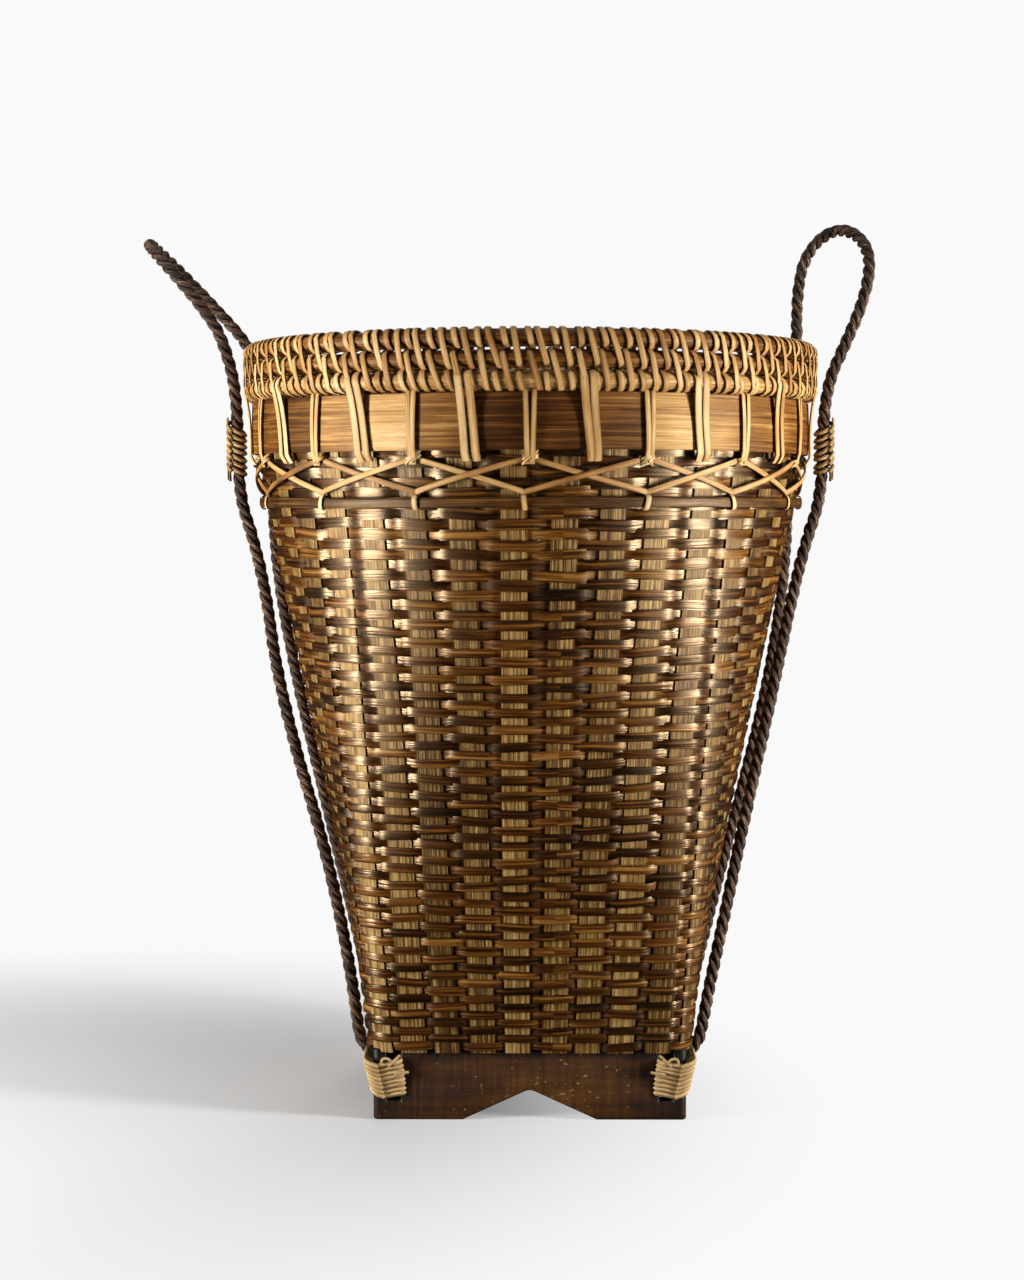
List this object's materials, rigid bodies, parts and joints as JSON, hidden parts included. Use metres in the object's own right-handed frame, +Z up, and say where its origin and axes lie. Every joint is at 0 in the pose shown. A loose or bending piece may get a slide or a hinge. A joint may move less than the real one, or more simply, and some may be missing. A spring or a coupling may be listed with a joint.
{
  "type": "rattan basket",
  "caption": "Tall woven rattan carrying basket with a square notched wooden base, a round sewn cane rim and a rope strap with a swinging loop on each side.",
  "frame": {"origin": "middle of the square footprint, on the floor under the basket's axis", "axes": "+Z up along the basket's axis, -Y towards the viewer of the picture, +X to the right"},
  "size_m": [0.4173, 0.3206, 0.4911],
  "materials": {
    "base_wood": "dark stained hardwood with worn lighter streaks, satin",
    "pale_splint": "pale tan split rattan with fine fibres, matt",
    "dark_rattan": "dark brown rattan weavers, lacquered, glossy",
    "band_wood": "flat split band with grain along it, tan to brown, satin",
    "rim_rod": "round rattan rod, brown, satin",
    "rim_cane": "flat split cane, tan to orange brown, satin",
    "pale_cane": "pale cane lashing, satin",
    "strap_rope": "dark brown twisted plant-fibre rope, rough"
  },
  "bodies": {
    "root": {"band_ties_long": "rim_cane", "band_ties_short": "rim_cane", "base_board_back": "base_wood", "base_board_front": "base_wood", "base_board_left": "base_wood", "base_board_right": "base_wood", "corner_lash_back_left": "pale_cane", "corner_lash_back_right": "pale_cane", "corner_lash_front_left": "pale_cane", "corner_lash_front_right": "pale_cane", "corner_stakes": "pale_splint", "cross_lacing_over": "rim_cane", "cross_lacing_under": "rim_cane", "floor_splint_crosswise_1": "pale_splint", "floor_splint_crosswise_2": "pale_splint", "floor_splint_crosswise_3": "pale_splint", "floor_splint_crosswise_4": "pale_splint", "floor_splint_crosswise_5": "pale_splint", "floor_splint_crosswise_6": "pale_splint", "floor_splint_crosswise_7": "pale_splint", "floor_splint_crosswise_8": "pale_splint", "floor_splint_lengthwise_1": "pale_splint", "floor_splint_lengthwise_2": "pale_splint", "floor_splint_lengthwise_3": "pale_splint", "floor_splint_lengthwise_4": "pale_splint", "floor_splint_lengthwise_5": "pale_splint", "floor_splint_lengthwise_6": "pale_splint", "floor_splint_lengthwise_7": "pale_splint", "floor_splint_lengthwise_8": "pale_splint", "hoop_ties": "rim_cane", "left_strap_back": "strap_rope", "left_strap_front": "strap_rope", "lower_hoop": "dark_rattan", "right_strap_back": "strap_rope", "right_strap_front": "strap_rope", "rim_band_inner": "band_wood", "rim_band_outer": "band_wood", "rim_rod_lower": "rim_rod", "rim_rod_middle": "rim_rod", "rim_rod_upper": "rim_rod", "rim_stitches_lower_long": "rim_cane", "rim_stitches_lower_short": "rim_cane", "rim_stitches_upper_long": "rim_cane", "rim_stitches_upper_short": "rim_cane", "stakes_back": "pale_splint", "stakes_front": "pale_splint", "stakes_left": "pale_splint", "stakes_right": "pale_splint", "strap_knots": "strap_rope", "strap_lash_left_back": "pale_cane", "strap_lash_left_front": "pale_cane", "strap_lash_right_back": "pale_cane", "strap_lash_right_front": "pale_cane", "woven_wall": "dark_rattan"},
    "left_loop": {"left_strap_loop": "strap_rope"},
    "right_loop": {"right_strap_loop": "strap_rope"}
  },
  "joints": [
    {"name": "left_loop_swing", "type": "hinge", "parent": "root", "child": "left_loop", "pos_m": [-0.1735, 0, 0.424], "axis": [0.1006, 0.9949, 0], "range_deg": [-70, 105]},
    {"name": "right_loop_swing", "type": "hinge", "parent": "root", "child": "right_loop", "pos_m": [0.179, 0, 0.424], "axis": [0.3171, -0.9484, 0], "range_deg": [-95, 80]}
  ]
}
